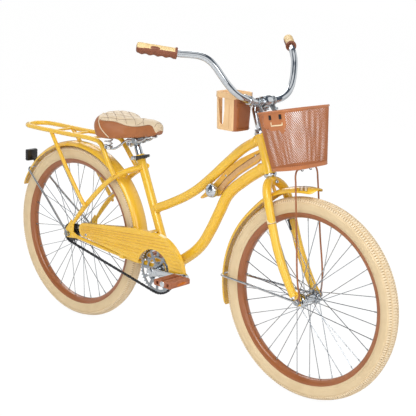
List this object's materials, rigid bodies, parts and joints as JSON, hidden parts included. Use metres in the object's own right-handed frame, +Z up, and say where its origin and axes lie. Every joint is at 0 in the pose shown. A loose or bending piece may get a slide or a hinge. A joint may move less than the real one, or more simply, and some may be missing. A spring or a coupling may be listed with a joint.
{
  "type": "bicycle",
  "caption": "Step-through city bike with balloon tyres, swept-back bar, front basket, cup holder, fenders, chain guard and rear rack.",
  "frame": {"origin": "on the floor under the middle of the bike's bounding box", "axes": "+Z up, +Y towards the back of the bike, +X towards the rider's left"},
  "size_m": [0.7714, 1.765, 1.1301],
  "materials": {
    "yellow_paint": "gloss enamel",
    "chrome": "polished",
    "zinc_steel": "zinc plated",
    "dark_steel": "dark, oiled",
    "brown_paint": "satin enamel",
    "cream_tyre": "matt",
    "cream_rubber": "soft, matt",
    "brown_rubber": "matt",
    "saddle_cover": "quilted vinyl",
    "black_plastic": "satin",
    "brown_plastic": "satin"
  },
  "bodies": {
    "frame": {"head_tube": "yellow_paint", "top_tube": "yellow_paint", "down_tube": "yellow_paint", "seat_tube": "yellow_paint", "bottom_bracket_shell": "yellow_paint", "chainstay_right": "yellow_paint", "chainstay_left": "yellow_paint", "seatstay_right": "yellow_paint", "seatstay_left": "yellow_paint", "seatstay_bridge": "yellow_paint", "chainstay_bridge": "yellow_paint", "tank_panel": "yellow_paint", "bell_base": "black_plastic", "headset_upper_cup": "chrome", "headset_lower_cup": "chrome", "rear_axle": "zinc_steel", "rear_fender": "yellow_paint", "rear_fender_stays": "zinc_steel", "rear_reflector": "black_plastic", "rear_rack": "yellow_paint", "chain": "dark_steel", "bottom_bracket_cup_right": "chrome", "bottom_bracket_cup_left": "chrome", "coaster_brake_arm": "zinc_steel", "chain_guard": "yellow_paint", "seat_collar": "chrome"},
    "steering": {"headset_locknut": "chrome", "fork": "yellow_paint", "stem": "chrome", "handlebar": "chrome", "grip_left": "cream_rubber", "grip_right": "cream_rubber", "front_axle": "zinc_steel", "front_fender": "yellow_paint", "front_fender_stays": "zinc_steel", "basket": "brown_paint", "basket_bracket": "zinc_steel", "basket_support_rod": "brown_paint", "cup_holder": "brown_plastic", "cup_holder_bracket": "zinc_steel"},
    "front_wheel": {"front_tyre": "cream_tyre", "front_rim": "brown_paint", "front_hub": "chrome"},
    "rear_wheel": {"rear_tyre": "cream_tyre", "rear_rim": "brown_paint", "rear_hub": "chrome", "rear_cog": "zinc_steel"},
    "cranks": {"crank": "chrome", "chainring": "chrome", "pedal_spindle_right": "zinc_steel", "pedal_spindle_left": "zinc_steel"},
    "pedal_right_body": {"pedal_right": "brown_rubber"},
    "pedal_left_body": {"pedal_left": "brown_rubber"},
    "seat": {"seatpost": "chrome", "saddle_clamp": "dark_steel", "saddle_rails": "dark_steel", "saddle_spring_left": "chrome", "saddle_spring_right": "chrome", "saddle": "saddle_cover"},
    "bell": {"bell_dome": "chrome"}
  },
  "joints": [
    {"name": "steering_turn", "type": "hinge", "parent": "frame", "child": "steering", "pos_m": [0, -0.51441, 0.31919], "axis": [0, 0.3502, 0.9367], "range_deg": [-60, 60]},
    {"name": "front_wheel_spin", "type": "hinge", "parent": "steering", "child": "front_wheel", "pos_m": [0, -0.55, 0.3325], "axis": [1, 0, 0], "continuous": true},
    {"name": "rear_wheel_spin", "type": "hinge", "parent": "frame", "child": "rear_wheel", "pos_m": [0, 0.55, 0.3325], "axis": [1, 0, 0], "continuous": true, "deforming": ["chain"]},
    {"name": "crank_turn", "type": "hinge", "parent": "frame", "child": "cranks", "pos_m": [0, 0.08456, 0.29], "axis": [1, 0, 0], "continuous": true, "deforming": ["chain"]},
    {"name": "pedal_right_spin", "type": "hinge", "parent": "cranks", "child": "pedal_right_body", "pos_m": [-0.1425, -0.07954, 0.30725], "axis": [1, 0, 0], "continuous": true},
    {"name": "pedal_left_spin", "type": "hinge", "parent": "cranks", "child": "pedal_left_body", "pos_m": [0.1425, 0.24865, 0.27275], "axis": [1, 0, 0], "continuous": true},
    {"name": "seat_height", "type": "slide", "parent": "frame", "child": "seat", "axis": [0, 0.4019, 0.9157], "range_m": [0, 0.06]},
    {"name": "bell_twist", "type": "hinge", "parent": "frame", "child": "bell", "pos_m": [-0.0083, -0.14, 0.62], "axis": [-1, 0, 0], "range_deg": [0, 45], "stiffness_Nm_per_rad": 0.05}
  ],
  "couplings": [
    {"joint": "crank_turn", "follows": "rear_wheel_spin", "ratio": 0.42857}
  ]
}
